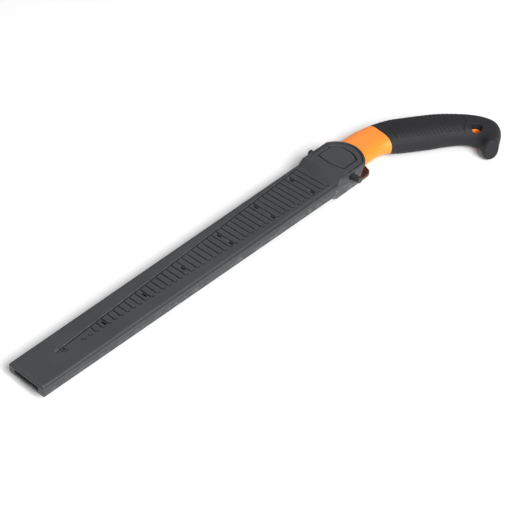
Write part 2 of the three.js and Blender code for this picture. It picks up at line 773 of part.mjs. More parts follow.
function handleCore() {
  const sleeve = handleBody(0).subtract(behindFront(0));
  const inner = handleBody(gripWall + gap).intersect(behindFront(-20));
  let body = sleeve.add(inner);
  const frontEndX = mouthCentreX + mouthRadius + 2;
  const rearEndX = mouthCornerX + linerOverhang + 2;
  body = cut(
    body,
    box(noseX - 1, frontEndX, -50, 50, roofZ - slideClearance, roofZ + 20),
    box(noseX - 1, rearEndX, -50, 50, floorZ - 20, floorZ + slideClearance),
  );
  const slotLoop = inset(loopOf(new THREE.Shape(tangLoop.map(([x, y]) => point(x, y))), 1), -gap);
  const slotHalf = bladeThickness / 2 + gap;
  body = cut(body, prism(new THREE.Shape(slotLoop), bladeZ - slotHalf, bladeZ + slotHalf));
  body = cut(body, rod(lanyardX, lanyardY, -20, 60, lanyardRadius - coreEyeInset, 24));
  tangScrewX.forEach((x) => {
    const low = bladeZ - halfThickness(x, 0);
    body = cut(
      body,
      rod(x, 0, low - 5, bladeZ, tangScrewRadius + gap, 16),
      rod(x, 0, low - 5, low + tangHeadHeight + 0.6, tangHeadRadius + gap, 20),
      rod(x, 0, bladeZ, bladeZ + slotHalf + insertHeight + 2 * gap, insertRadius + gap, 20),
    );
  });
  return body;
}

function gripOvermould() {
  const skin = handleBody(0).intersect(behindFront(gap));
  const body = skin.subtract(handleBody(gripWall));
  return cut(body, rod(lanyardX, lanyardY, -20, 60, lanyardRadius, 24));
}

place(saw, 'handle_core', handleCore(), orangePlastic);
place(saw, 'grip_overmould', gripOvermould(), blackRubber);

tangScrewX.forEach((x, i) => {
  const seat = bladeZ - halfThickness(x, 0) + tangHeadHeight + 0.6 - gap;
  const insertLow = bladeZ + bladeThickness / 2 + 2 * gap;
  const insertHigh = insertLow + insertHeight - gap;
  const shankTop = insertHigh - 0.4;
  const profile = [
    [0, seat - tangHeadHeight],
    [tangHeadRadius, seat - tangHeadHeight],
    [tangHeadRadius, seat],
    [tangScrewRadius, seat],
    [tangScrewRadius, shankTop],
    [0, shankTop],
  ];
  place(saw, `tang_screw_${i + 1}`, socketedScrew(profile, x, 0, 1.2, seat - 0.6), screwSteel);
  const bore = tangScrewRadius + gap;
  const ring = [
    [bore, insertLow],
    [insertRadius, insertLow],
    [insertRadius, insertHigh],
    [bore, insertHigh],
    [bore, insertLow],
  ];
  place(saw, `tang_insert_${i + 1}`, solid(turned(ring, x, 0, 20)), brass);
});

const pruningSaw = new THREE.Group();
pruningSaw.add(scabbard, lock, saw);

export default pruningSaw;
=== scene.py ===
# Pruning saw in its scabbard: the looks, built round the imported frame.
# Lengths in the dictionaries are millimetres; meshes are made in metres.
import math
import bmesh
import bpy
import numpy as np
from mathutils import Matrix, Vector


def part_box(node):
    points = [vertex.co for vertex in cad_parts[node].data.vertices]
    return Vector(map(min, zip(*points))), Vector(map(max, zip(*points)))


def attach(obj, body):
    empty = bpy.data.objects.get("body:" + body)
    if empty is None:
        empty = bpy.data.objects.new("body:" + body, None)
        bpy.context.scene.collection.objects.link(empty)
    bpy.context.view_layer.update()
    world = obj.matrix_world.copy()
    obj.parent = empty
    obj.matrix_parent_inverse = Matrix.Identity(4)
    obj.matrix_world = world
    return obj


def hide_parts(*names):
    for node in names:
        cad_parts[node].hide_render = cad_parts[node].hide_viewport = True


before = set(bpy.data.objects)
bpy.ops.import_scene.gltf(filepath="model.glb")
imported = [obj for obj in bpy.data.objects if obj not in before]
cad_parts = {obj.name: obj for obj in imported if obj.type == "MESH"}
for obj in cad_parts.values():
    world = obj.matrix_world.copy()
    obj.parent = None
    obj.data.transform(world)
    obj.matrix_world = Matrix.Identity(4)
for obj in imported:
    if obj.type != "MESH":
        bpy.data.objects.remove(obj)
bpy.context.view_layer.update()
mm = 0.001


def boxOf(node):
    low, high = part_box(node)
    return np.array(low) / mm, np.array(high) / mm


frontLow, frontHigh = boxOf("front_shell")
backLow = boxOf("back_shell")[0]
boltLow, boltHigh = boxOf("lock_bolt")
bladeLow, bladeHigh = boxOf("saw_blade")
bladeZ = (bladeLow[2] + bladeHigh[2]) / 2
tipX = frontLow[0]
seamZ = frontLow[2]
print("frame loaded")


# mesh helpers

def gridFaces(rows, columns, around=False):
    # Quads between neighbouring points of a grid; around joins the last column to the first.
    r = np.arange(rows - 1)[:, None]
    c = np.arange(columns if around else columns - 1)[None, :]
    d = (c + 1) % columns
    quads = [r * columns + c, (r + 1) * columns + c, (r + 1) * columns + d, r * columns + d]
    return np.stack(np.broadcast_arrays(*quads), -1).reshape(-1, 4)


def meshOf(name, patches, sharp=32, drop=None):
    # One mesh from grids of points; each patch is (points, around).
    places, faces, count = [], [], 0
    for points, around in patches:
        rows, columns = points.shape[:2]
        faces.append(gridFaces(rows, columns, around) + count)
        places.append(points.reshape(-1, 3))
        count += rows * columns
    places, faces = np.concatenate(places), np.concatenate(faces)
    if drop is not None:
        faces = faces[~drop(places[faces].mean(1))]
    mesh = bpy.data.meshes.new(name)
    mesh.from_pydata((places * mm).tolist(), [], faces.tolist())
    form = bmesh.new()
    form.from_mesh(mesh)
    bmesh.ops.remove_doubles(form, verts=form.verts, dist=2e-6)
    bmesh.ops.dissolve_degenerate(form, edges=form.edges, dist=1e-7)
    loose = [v for v in form.verts if not v.link_faces]
    bmesh.ops.delete(form, geom=loose, context="VERTS")
    bmesh.ops.recalc_face_normals(form, faces=form.faces)
    form.to_mesh(mesh)
    form.free()
    return smoothed(mesh, sharp)


def smoothed(mesh, sharp):
    mesh.polygons.foreach_set("use_smooth", np.ones(len(mesh.polygons), bool))
    mesh.set_sharp_from_angle(angle=math.radians(sharp))
    return mesh


def piece(name, mesh, material, body, slot, *nodes):
    made = bpy.data.objects.new(name, mesh)
    bpy.context.scene.collection.objects.link(made)
    mesh.materials.clear()
    mesh.materials.append(material)
    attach(made, body)
    if nodes:
        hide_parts(*nodes)
    return made


def smoothStep(low, high, value):
    t = np.clip((value - low) / (high - low), 0, 1)
    return t * t * (3 - 2 * t)


def curveThrough(points, perSpan):
    # A smooth line through points: each span is a cubic whose end slopes are half the neighbours'
    # distance.
    p = np.array(points, float)
    padded = np.concatenate([2 * p[:1] - p[1:2], p, 2 * p[-1:] - p[-2:-1]])
    a, b, c, d = padded[:-3], padded[1:-2], padded[2:-1], padded[3:]
    t = np.linspace(0, 1, perSpan, endpoint=False)[None, :, None]
    a, b, c, d = [q[:, None, :] for q in (a, b, c, d)]
    square = (2 * a - 5 * b + 4 * c - d) * t ** 2
    cube = (3 * b - a - 3 * c + d) * t ** 3
    line = 0.5 * (2 * b + (c - a) * t + square + cube)
    return np.concatenate([line.reshape(-1, p.shape[1]), p[-1:]])


def toSegment(x, y, start, end):
    # Distance in plan from each point to a straight segment.
    ax, ay = start
    bx, by = end
    run = (bx - ax) ** 2 + (by - ay) ** 2
    t = np.clip(((x - ax) * (bx - ax) + (y - ay) * (by - ay)) / run, 0, 1)
    return np.hypot(x - ax - t * (bx - ax), y - ay - t * (by - ay))


def inLoop(x, y, loop):
    # Signed distance in plan to a closed loop, negative inside.
    shape = np.shape(x)
    px, py = np.ravel(x)[:, None], np.ravel(y)[:, None]
    ax, ay = loop[:, 0][None], loop[:, 1][None]
    bx, by = np.roll(loop[:, 0], -1)[None], np.roll(loop[:, 1], -1)[None]
    run = (bx - ax) ** 2 + (by - ay) ** 2 + 1e-12
    t = np.clip(((px - ax) * (bx - ax) + (py - ay) * (by - ay)) / run, 0, 1)
    near = np.hypot(px - ax - t * (bx - ax), py - ay - t * (by - ay)).min(1)
    crosses = ((ay > py) != (by > py)) & (px < (bx - ax) * (py - ay) / (by - ay + 1e-12) + ax)
    inside = crosses.sum(1) % 2 == 1
    return np.where(inside, -near, near).reshape(shape)


# materials

class Nodes:
    # A material's node tree with short calls to add and join nodes.

    def __init__(self, name):
        self.material = bpy.data.materials.new(name)
        self.material.use_nodes = True
        self.tree = self.material.node_tree
        self.shader = self.tree.nodes["Principled BSDF"]
        self.place = self.add("ShaderNodeTexCoord").outputs["Object"]

    def add(self, kind, **values):
        node = self.tree.nodes.new(kind)
        for key, value in values.items():
            setattr(node, key, value)
        return node

    def join(self, output, socket):
        self.tree.links.new(output, socket)

    def stretched(self, scale, turn=0.0):
        node = self.add("ShaderNodeMapping")
        node.inputs["Scale"].default_value = scale
        node.inputs["Rotation"].default_value = (0, 0, turn)
        self.join(self.place, node.inputs["Vector"])
        return node.outputs["Vector"]

    def noise(self, scale, detail=3.0, rough=0.5, vector=None):
        node = self.add("ShaderNodeTexNoise")
        node.inputs["Scale"].default_value = scale
        node.inputs["Detail"].default_value = detail
        node.inputs["Roughness"].default_value = rough
        self.join(vector or self.place, node.inputs["Vector"])
        return node.outputs["Fac"]

    def spread(self, value, fromLow, fromHigh, toLow, toHigh):
        node = self.add("ShaderNodeMapRange")
        names = ("From Min", "From Max", "To Min", "To Max")
        for name, number in zip(names, (fromLow, fromHigh, toLow, toHigh)):
            node.inputs[name].default_value = number
        self.join(value, node.inputs["Value"])
        return node.outputs["Result"]

    def blend(self, amount, first, second):
        node = self.add("ShaderNodeMix", data_type="RGBA")
        self.join(amount, node.inputs[0])
        for index, colour in ((6, first), (7, second)):
            if isinstance(colour, tuple):
                node.inputs[index].default_value = (*colour, 1)
            else:
                self.join(colour, node.inputs[index])
        return node.outputs[2]

    def bump(self, height, depth, strength=1.0, under=None):
        node = self.add("ShaderNodeBump")
        node.inputs["Distance"].default_value = depth
        node.inputs["Strength"].default_value = strength
        self.join(height, node.inputs["Height"])
        if under is not None:
            self.join(under, node.inputs["Normal"])
        return node.outputs["Normal"]

    def edges(self, low, high):
        return self.spread(self.add("ShaderNodeNewGeometry").outputs["Pointiness"], low, high, 0, 1)


def mouldedPlastic(name, dark, light, roughness, grain, grainDepth, worn=None, coat=0.0):
    # Moulded plastic: cloudy tone, eroded grain in the surface, uneven gloss and paler rubbed
    # edges.
    n = Nodes(name)
    cloud = n.noise(14, 4, 0.6)
    tone = n.blend(n.spread(cloud, 0.3, 0.7, 0, 1), dark, light)
    speck = n.spread(n.noise(2600, 2, 0.6), 0.62, 0.75, 0, 0.5)
    tone = n.blend(speck, tone, tuple(min(1, c * 1.5 + 0.01) for c in light))
    if worn is not None:
        rub = n.add("ShaderNodeMath", operation="MULTIPLY")
        n.join(n.edges(0.515, 0.56), rub.inputs[0])
        n.join(n.spread(n.noise(160, 5, 0.65), 0.45, 0.65, 0.1, 0.8), rub.inputs[1])
        tone = n.blend(rub.outputs[0], tone, worn)
    n.join(tone, n.shader.inputs["Base Color"])
    gloss = n.spread(n.noise(60, 5, 0.7), 0.3, 0.7, roughness - 0.06, roughness + 0.07)
    n.join(gloss, n.shader.inputs["Roughness"])
    fine = n.bump(n.noise(grain, 2, 0.55), grainDepth * mm)
    n.join(n.bump(n.noise(32, 2, 0.5), 0.05 * mm, 0.6, fine), n.shader.inputs["Normal"])
    n.shader.inputs["Coat Weight"].default_value = coat
    n.shader.inputs["Coat Roughness"].default_value = 0.25
    return n.material


def groundSteel(name, dark, light, roughness, turn=0.0, across=2600, along=60):
    # Ground steel: long fine scratches along one direction, in tone, gloss and relief.
    n = Nodes(name)
    lines = n.noise(1, 4, 0.7, n.stretched((along, across, across), turn))
    n.join(n.blend(n.spread(lines, 0.3, 0.7, 0, 1), dark, light), n.shader.inputs["Base Color"])
    n.join(n.spread(lines, 0.3, 0.7, roughness - 0.07, roughness + 0.1), n.shader.inputs["Roughness"])
    n.join(n.bump(lines, 0.01 * mm), n.shader.inputs["Normal"])
    n.shader.inputs["Metallic"].default_value = 1
    return n.material


def gripRubber(name, dark, light, roughness):
    # Rubber: matt, softly mottled, with a fine pebbled skin and dust-pale high spots.
    n = Nodes(name)
    tone = n.blend(n.spread(n.noise(22, 5, 0.6), 0.3, 0.7, 0, 1), dark, light)
    dust = n.spread(n.noise(700, 4, 0.7), 0.55, 0.75, 0, 0.35)
    tone = n.blend(dust, tone, tuple(c * 1.7 for c in light))
    n.join(tone, n.shader.inputs["Base Color"])
    gloss = n.spread(n.noise(90, 5, 0.7), 0.3, 0.7, roughness - 0.06, roughness + 0.06)
    n.join(gloss, n.shader.inputs["Roughness"])
    pebble = n.add("ShaderNodeTexVoronoi")
    pebble.inputs["Scale"].default_value = 1500
    n.join(n.place, pebble.inputs["Vector"])
    fine = n.bump(pebble.outputs["Distance"], 0.05 * mm, 0.5)
    n.join(n.bump(n.noise(240, 3, 0.6), 0.05 * mm, 0.6, fine), n.shader.inputs["Normal"])
    n.shader.inputs["Specular IOR Level"].default_value = 0.28
    return n.material


shellPlastic = mouldedPlastic("shellPlastic", (0.026, 0.028, 0.030), (0.037, 0.039, 0.042), 0.56, 1900, 0.03,
                              worn=(0.13, 0.13, 0.13))
badgePlastic = mouldedPlastic("badgePlastic", (0.026, 0.027, 0.029), (0.034, 0.035, 0.037), 0.46, 2400, 0.012)
boltPlastic = mouldedPlastic("boltPlastic", (0.008, 0.008, 0.009), (0.014, 0.014, 0.015), 0.42, 1600, 0.01,
                             worn=(0.05, 0.05, 0.05))
linerPlastic = mouldedPlastic("linerPlastic", (0.012, 0.0030, 0.0022), (0.020, 0.0050, 0.0036),
                              0.42, 1700, 0.02, worn=(0.06, 0.02, 0.015))
orangePlastic = mouldedPlastic("orangePlastic", (0.90, 0.235, 0.018), (0.96, 0.255, 0.018), 0.46, 1500, 0.02,
                               coat=0.1)
rubberSkin = gripRubber("rubberSkin", (0.011, 0.011, 0.013), (0.018, 0.018, 0.020), 0.66)
bladeSteel = groundSteel("bladeSteel", (0.42, 0.43, 0.44), (0.66, 0.67, 0.68), 0.30, math.pi / 2)
screwSteel = groundSteel("screwSteel", (0.30, 0.31, 0.32), (0.46, 0.47, 0.48), 0.34, 0, 900, 900)
insertBrass = groundSteel("insertBrass", (0.42, 0.28, 0.09), (0.62, 0.44, 0.16), 0.32, 0, 900, 900)
print("materials made")


# front shell: the slotted case

case = {
    "splitX": -25.0,           # where the case ends and the throat begins
    "tipHalf": 19.8,           # half widths of the wall's outside
    "throatHalf": 23.2,
    "tipInset": 1.1,           # ledge beside the raised face, wider towards the throat
    "throatInset": 2.6,
    "plateauBevel": 1.5,
    "bevelPower": 1.4,
    "tipLedge": 1.0,
    "ledgeZ": 17.3,
    "faceZ": 18.5,
    "outerRound": 0.5,
    "cornerRound": 1.0,
    "slotPitch": 6.53,
    "slotCount": 45,
    "lastSlotX": -27.6,
    "slotWidth": 1.3,
    "slotDepth": 2.0,
    "wallSlope": 0.12,         # a slot's side in plan
    "hookReach": 1.9,          # the slot's near end turns towards the mouth
    "hookDrop": 1.15,
    "hookHalf": 0.85,
    "hookDepth": 2.2,
    "shortSlots": 2,           # at the tip end, a hook and no slot
    "borderHalf": 0.62,
    "borderLead": 24,
    "borderTipY": 2.1,
    "borderThroatY": 19,
    "nearTipY": -1.9,
    "nearThroatY": -15.6,
    "holeLength": 3.4,
    "holeHalf": 3.2,
    "singleHoles": (40, 33, 26),     # slots counted from the throat
    "pairedHoles": (18, 10, 2),
    "pairY": 12.44,
    "pairStep": 0.34,
    "notches": (((3.4, -2.4), (8.4, -2.1)),     # plain marks beside the long groove's start
                ((5.6, -4.4), (8.6, -4.2)), ((7.0, -0.5), (7.0, -2.2))),
    "drainHalf": 13.6,         # the slot in the end wall
    "drainTopZ": 16.05,
    "roomZ": 16.2,             # ceiling over the blade
    "tipRoomHalf": 14.0,
    "throatRoomHalf": 17.0,
}


def along(x, startX, endX, first, last):
    return first + (last - first) * (x - startX) / (endX - startX)


def caseHalf(x):
    # Half width of the case: a straight taper, drawn in by a quarter circle at the tip corners.
    c = case
    half = along(x, tipX, c["splitX"], c["tipHalf"], c["throatHalf"])
    back = np.clip(c["cornerRound"] - (x - tipX), 0, None)
    return half - c["cornerRound"] + np.sqrt(np.clip(c["cornerRound"] ** 2 - back ** 2, 0, None))


def ledgeWidth(x):
    return along(x, tipX, case["splitX"], case["tipInset"], case["throatInset"])


def slotPlaceX(i):
    return case["lastSlotX"] - i * case["slotPitch"]


def borderY(x):
    first = slotPlaceX(case["slotCount"] - 1) - case["borderLead"]
    return along(x, first, case["lastSlotX"], case["borderTipY"], case["borderThroatY"])


def nearY(x):
    first = slotPlaceX(case["slotCount"] - 1)
    return along(x, first, case["lastSlotX"], case["nearTipY"], case["nearThroatY"])


def holePlaces():
    # Centres of the through-holes, on the tip side of their slots.
    c = case
    spots = []
    for i in c["singleHoles"]:
        x = slotPlaceX(i)
        spots.append((x - c["holeLength"] / 2 + 0.2, (borderY(x) + nearY(x)) / 2 - 1))
    for i in c["pairedHoles"]:
        x = slotPlaceX(i)
        y = c["pairY"] - c["pairStep"] * (i - c["pairedHoles"][-1])
        spots += [(x - c["holeLength"] / 2 + 0.2, y), (x - c["holeLength"] / 2 + 0.2, -y)]
    return spots


def caseTop(x, y):
    # Ledge height, rising by a rounded bevel to the raised face inside its outline; grooves come
    # off later.
    c = case
    half = along(x, tipX, c["splitX"], c["tipHalf"], c["throatHalf"])
    side = half - ledgeWidth(x) - np.abs(y)
    front = x - tipX - c["tipLedge"]
    corner = c["cornerRound"]
    inner = np.hypot(np.clip(corner - side, 0, None), np.clip(corner - front, 0, None))
    inset = np.where((side < corner) & (front < corner), corner - inner, np.minimum(side, front))
    t = np.clip(inset / c["plateauBevel"], 0, 1)
    z = c["ledgeZ"] + (c["faceZ"] - c["ledgeZ"]) * np.sin(t * math.pi / 2) ** c["bevelPower"]
    edge = np.minimum(caseHalf(x) - np.abs(y), x - tipX)
    fall = np.clip(1 - edge / c["outerRound"], 0, 1)
    return z - c["outerRound"] * (1 - np.sqrt(1 - fall ** 2))


def caseCuts(x, y):
    # How deep the face is cut at each point: long groove, slots with a hooked end, the notch and
    # the holes.
    c = case
    half, slope = c["slotWidth"] / 2, c["wallSlope"]

    def groove(distance, width, depth):
        return depth * (1 - smoothStep(width - slope / 2, width + slope / 2, distance))

    firstX = slotPlaceX(c["slotCount"] - 1)
    startX = firstX - c["borderLead"]
    lean = math.atan2(c["borderThroatY"] - c["borderTipY"], c["lastSlotX"] - startX)
    off = np.abs(y - borderY(x)) * math.cos(lean)
    ends = np.maximum(startX - x, x - c["lastSlotX"] - half)
    startWide = 0.35 * (1 - smoothStep(startX + 4.0, startX + 5.5, x))
    depth = groove(np.maximum(off, ends + c["borderHalf"]), c["borderHalf"] + startWide, c["slotDepth"])
    i = np.clip(np.round((c["lastSlotX"] - x - 0.9) / c["slotPitch"]), 0, c["slotCount"] - 1)
    sx = slotPlaceX(i)
    top, low = borderY(sx), nearY(sx)
    short = np.where(i >= c["slotCount"] - c["shortSlots"], 50.0, 0.0)
    line = np.maximum(np.abs(x - sx), np.maximum(low + 0.4 - y, y - top) + half) + short
    depth = np.maximum(depth, groove(line, half, c["slotDepth"]))
    bend = toSegment(x - sx, y - low, (0.0, 0.8), (0.7, -0.5))
    hook = toSegment(x - sx, y - low, (0.7, -0.5), (c["hookReach"], -c["hookDrop"]))
    depth = np.maximum(depth, groove(np.minimum(bend, hook), c["hookHalf"], c["hookDepth"]))
    for a, b in c["notches"]:
        notch = toSegment(x - startX, y - borderY(startX), a, b)
        depth = np.maximum(depth, groove(notch, half * 0.8, c["slotDepth"]))
    for hx, hy in holePlaces():
        dx = np.abs(x - hx) - c["holeLength"] / 2 + 0.5
        dy = np.abs(y - hy) - c["holeHalf"] + 0.5
        rim = np.hypot(np.clip(dx, 0, None), np.clip(dy, 0, None)) + np.minimum(np.maximum(dx, dy), 0) - 0.5
        depth = np.maximum(depth, (c["faceZ"] - c["roomZ"] + 0.02) * (1 - smoothStep(-0.1, 0.12, rim)))
    return depth


def caseStations():
    # Lines across the case: close together at each slot's edges, its hook and the holes.
    c = case
    half, slope = c["slotWidth"] / 2, c["wallSlope"] / 2
    near = [-half - slope, -half + slope, 0, half - slope, half + slope]
    hook = [0.85, 1.15, 1.45, 1.75, 2.05, 2.35, 2.65, 2.95, 3.25]
    cut = [-c["holeLength"] + d for d in (0.12, 0.3, 0.7)]
    offsets = np.array(sorted(near + hook + cut + [-2.2, -1.3, 4.1]) )
    slots = (slotPlaceX(np.arange(c["slotCount"]))[:, None] + offsets[None]).ravel()
    corner = tipX + c["cornerRound"] * (1 - np.cos(np.linspace(0, math.pi / 2, 13)))
    plain = np.arange(tipX + 1.2, slots.min() - 0.2, 0.6)
    stations = np.concatenate([corner, plain, slots, [c["splitX"]]])
    stations = np.unique(np.round(stations[stations <= c["splitX"]], 4))
    return stations


def caseColumns(x):
    # Lines along the case, which follow the walls, the ledge, the slots' near ends and the long
    # groove.
    c = case
    half = caseHalf(x)
    full = along(x, tipX, c["splitX"], c["tipHalf"], c["throatHalf"])
    squeeze = half / full
    ledge = (full - ledgeWidth(x)) * squeeze
    startX = slotPlaceX(c["slotCount"] - 1)
    low, top = nearY(np.maximum(x, startX)), borderY(x)
    lines = [-half + d for d in (0, 0.04, 0.15, 0.3, 0.5)]
    lines += [-ledge + d for d in (-0.2, 0, 0.2, 0.45, 0.75, 1.1, 1.7)]
    stops = [(-ledge + 1.7, low - 2.6, 6), (low - 2.6, low + 1.3, 13), (low + 1.3, top - 0.9, 44)]
    for a, b, count in stops:
        lines += [a + (b - a) * (k + 1) / count for k in range(count)]
    lines += [top + d for d in (-0.75, -0.66, -0.58, -0.3, 0.3, 0.58, 0.66, 0.9)]
    a, b = top + 0.9, ledge - 1.7
    lines += [a + (b - a) * (k + 1) / 7 for k in range(7)]
    lines += [ledge - d for d in (1.1, 0.75, 0.45, 0.2, 0, -0.2)]
    lines += [half - d for d in (0.5, 0.3, 0.15, 0.04, 0)]
    y = np.stack(lines, -1)
    y = np.clip(y, -half[:, None], half[:, None])
    return np.maximum.accumulate(y, 1)


def makeCase():
    # Face: height over a grid of points in plan. Walls: the face's rim carried down to the seam.
    c = case
    x = caseStations()
    y = caseColumns(x)
    gridX = np.broadcast_to(x[:, None], y.shape)
    z = caseTop(gridX, y) - caseCuts(gridX, y)
    face = np.stack([gridX, y, z], -1)
    patches = [(face, False)]
    level = np.linspace(1, 0, 5)[None, :]
    for side in (0, -1):
        rim = face[:, side]
        down = seamZ + (rim[:, 2:] - seamZ) * level
        patches.append((np.stack([np.broadcast_to(rim[:, :1], down.shape),
                                  np.broadcast_to(rim[:, 1:2], down.shape), down], -1), False))
    # end wall with the drain slot
    end = face[0]
    drain = c["drainHalf"]
    ys = np.unique(np.concatenate([end[:, 1], [-drain, -drain + 0.01, drain - 0.01, drain]]))
    high = np.interp(ys, end[:, 1], end[:, 2])
    low = np.where(np.abs(ys) < drain, c["drainTopZ"], seamZ)
    t = np.linspace(0, 1, 4)[:, None]
    patches.append((np.stack(np.broadcast_arrays(tipX, ys[None], high + (low - high) * t), -1), False))
    # the drain slot's roof and sides, the ceiling over the blade and the flange under the walls
    wall = tipX + 2.2
    run = np.array([tipX, wall])[:, None]
    roofY = np.array([-drain, -drain, drain, drain])[None]
    roofZ = np.array([seamZ, c["drainTopZ"], c["drainTopZ"], seamZ])[None]
    patches.append((np.stack(np.broadcast_arrays(run, roofY, roofZ), -1), False))
    inside = x[x >= wall][::6]
    inside = np.concatenate([[wall], inside, [c["splitX"]]])
    outer = caseHalf(inside)
    room = along(inside, tipX, c["splitX"], c["tipRoomHalf"], c["throatRoomHalf"])
    for sign in (-1, 1):
        rib = np.stack([sign * outer, sign * room, sign * room], -1)
        rise = np.broadcast_to(np.array([seamZ, seamZ, c["roomZ"]]), rib.shape)
        patches.append((np.stack([np.broadcast_to(inside[:, None], rib.shape), rib, rise], -1), False))
    patches += ceilingStrips(room, inside)
    mesh = meshOf("front_case", patches, 28, drop=lambda centre: holeBottom(centre))
    return piece("front_case", mesh, shellPlastic, "scabbard", "shell_plastic", "front_shell")


def holeBottom(centre):
    # True for faces that close a through-hole: those at ceiling height inside a hole's outline.
    c = case
    low = centre[:, 2] < c["roomZ"] + 0.1
    inside = np.zeros(len(centre), bool)
    for hx, hy in holePlaces():
        within = np.abs(centre[:, 0] - hx) < c["holeLength"] / 2
        inside |= within & (np.abs(centre[:, 1] - hy) < c["holeHalf"])
    return low & inside & (centre[:, 2] > c["roomZ"] - 0.4)


def ceilingStrips(room, inside):
    # The ceiling as one flat grid whose lines meet the holes' edges, so that the holes can be left
    # open.
    c = case
    spots = holePlaces()
    marks = sorted({round(hx + d, 4) for hx, _ in spots for d in (-c["holeLength"] / 2, c["holeLength"] / 2)})
    x = np.unique(np.concatenate([inside, marks]))
    half = np.interp(x, inside, room)
    lines = []
    for px, h in zip(x, half):
        near = sorted(spots, key=lambda s: abs(s[0] - px))
        row = [s[1] for s in near if abs(s[0] - near[0][0]) < 0.1]
        pair = sorted(row) if len(row) == 2 else [row[0], h - 4.2]
        cuts = [hy + d for hy in (pair[0], pair[1]) for d in (-c["holeHalf"], c["holeHalf"])]
        lines.append([-h, *np.clip(cuts, -h, h), h])
    y = np.maximum.accumulate(np.array(lines), 1)
    gridX = np.broadcast_to(x[:, None], y.shape)
    return [(np.stack([gridX, y, np.full(y.shape, c["roomZ"])], -1), False)]


makeCase()
print("slotted case made")


# front shell: the throat

throat = {
    "cornerX": 22.0,           # where the side walls end at the front
    "mouthBow": 4.0,           # the mouth arc's radius over the half width
    "footX": -22.5,            # the ramp's arc-shaped foot
    "footEdgeX": -18.0,
    "crestX": -13.5,
    "edgeZ": 22.5,             # top at the sides
    "crown": 1.5,              # higher in the middle
    "topRound": 1.6,
    "wall": 5.0,
    "roofZ": 21.0,
    "wallSlant": 9.0,
    "rampPower": 1.15,
    "frameStartX": -3.0,       # the groove that frames the badge
    "frameSideInset": 2.3,
    "frameArcInset": 3.2,
    "frameHalf": 1.05,
    "frameDepth": 2.0,
    "recessDepth": 2.4,
    "spacing": 0.3,
    "boreDip": 3.0,
    "boreGap": 0.9,
}
badge = {
    "startX": -1.0,
    "startBow": 3.0,           # its rear edge bows towards the tip
    "cornerX": 18.5,
    "endX": 25.0,
    "half": 16.0,
    "joint": 1.25,
    "edgeRound": 0.5,
    "sink": 0.15,
}
throatHalf = frontHigh[1]
mouthRadius = throatHalf + throat["mouthBow"]
mouthCentreX = throat["cornerX"] - math.sqrt(mouthRadius ** 2 - throatHalf ** 2)
padZ = backLow[2]
boltX, boltZ = (boltLow[0] + boltHigh[0]) / 2, (boltLow[2] + boltHigh[2]) / 2
boltRadius = (boltHigh[0] - boltLow[0]) / 2


def badgeLoop(drawnIn=0.0):
    # The badge's outline: rear edge and front corners are parabolic bows between straight sides.
    b = badge
    t = np.linspace(0, 1, 24, endpoint=False)[:, None]

    def bow(start, middle, end):
        return (1 - t) ** 2 * np.array(start) + 2 * t * (1 - t) * np.array(middle) + t ** 2 * np.array(end)

    half = b["half"]
    parts = [
        bow((b["startX"], half), (b["startX"] - 2 * b["startBow"], 0), (b["startX"], -half)),
        bow((b["startX"], -half), ((b["startX"] + b["cornerX"]) / 2, -half), (b["cornerX"], -half)),
        bow((b["cornerX"], -half), (b["endX"] - 0.6, -half * 0.66), (b["endX"], 0)),
        bow((b["endX"], 0), (b["endX"] - 0.6, half * 0.66), (b["cornerX"], half)),
        bow((b["cornerX"], half), ((b["startX"] + b["cornerX"]) / 2, half), (b["startX"], half)),
    ]
    loop = np.concatenate(parts)
    ahead = np.roll(loop, -1, 0) - np.roll(loop, 1, 0)
    normal = np.stack([-ahead[:, 1], ahead[:, 0]], -1) / np.linalg.norm(ahead, axis=1)[:, None]
    return loop + normal * drawnIn


def throatEdge(x, y):
    # Distance in from the throat's outline: straight sides, then the mouth's arc.
    side = throatHalf - np.abs(y)
    arc = mouthRadius - np.hypot(x - mouthCentreX, y)
    return np.where(x > throat["cornerX"] - 6, np.minimum(side, arc), side)


def crownedTop(y):
    return throat["edgeZ"] + throat["crown"] * (1 - (y / throatHalf) ** 2)


def throatTop(x, y):
    # Crowned top, falling by the ramp to the slotted face, with rounded outer edges, less its
    # grooves.
    t = throat
    foot = t["footX"] + (t["footEdgeX"] - t["footX"]) * (y / throatHalf) ** 2
    climb = np.clip((x - foot) / (t["crestX"] - foot), 0, 1)
    top = crownedTop(y)
    ramp = case["faceZ"] - 0.02 + (top - case["faceZ"]) * climb ** t["rampPower"]
    low = caseTop(np.full(np.shape(x), -40.0), y)
    z = np.where(x < foot, low, np.maximum(low, ramp))
    edge = throatEdge(x, y)
    radius = case["outerRound"] + (t["topRound"] - case["outerRound"]) * climb
    fall = np.clip(1 - edge / radius, 0, 1)
    z = np.where(x < foot, z, z - radius * (1 - np.sqrt(1 - fall ** 2)))
    inset = t["frameSideInset"] + (t["frameArcInset"] - t["frameSideInset"]) * smoothStep(16, 27, x)
    groove = np.maximum(np.abs(edge - inset), t["frameStartX"] - x + t["frameHalf"])
    z = z - t["frameDepth"] * (1 - smoothStep(0.35, t["frameHalf"] + 0.1, groove))
    recess = inLoop(x, y, badgeLoop())
    return z - t["recessDepth"] * (1 - smoothStep(-0.16, 0.14, recess))


def mouthEndX(z):
    # The side walls' front edge leans back towards the pad.
    t = throat
    return t["cornerX"] - t["wallSlant"] * (t["roofZ"] - np.minimum(z, t["roofZ"])) / (t["roofZ"] - padZ)


def throatHalfAt(x):
    arc = np.sqrt(np.clip(mouthRadius ** 2 - (x - mouthCentreX) ** 2, 0, None))
    straight = along(np.minimum(x, -19), -25, -19, case["throatHalf"], throatHalf)
    return np.where(x > throat["cornerX"], np.minimum(arc, throatHalf), straight)


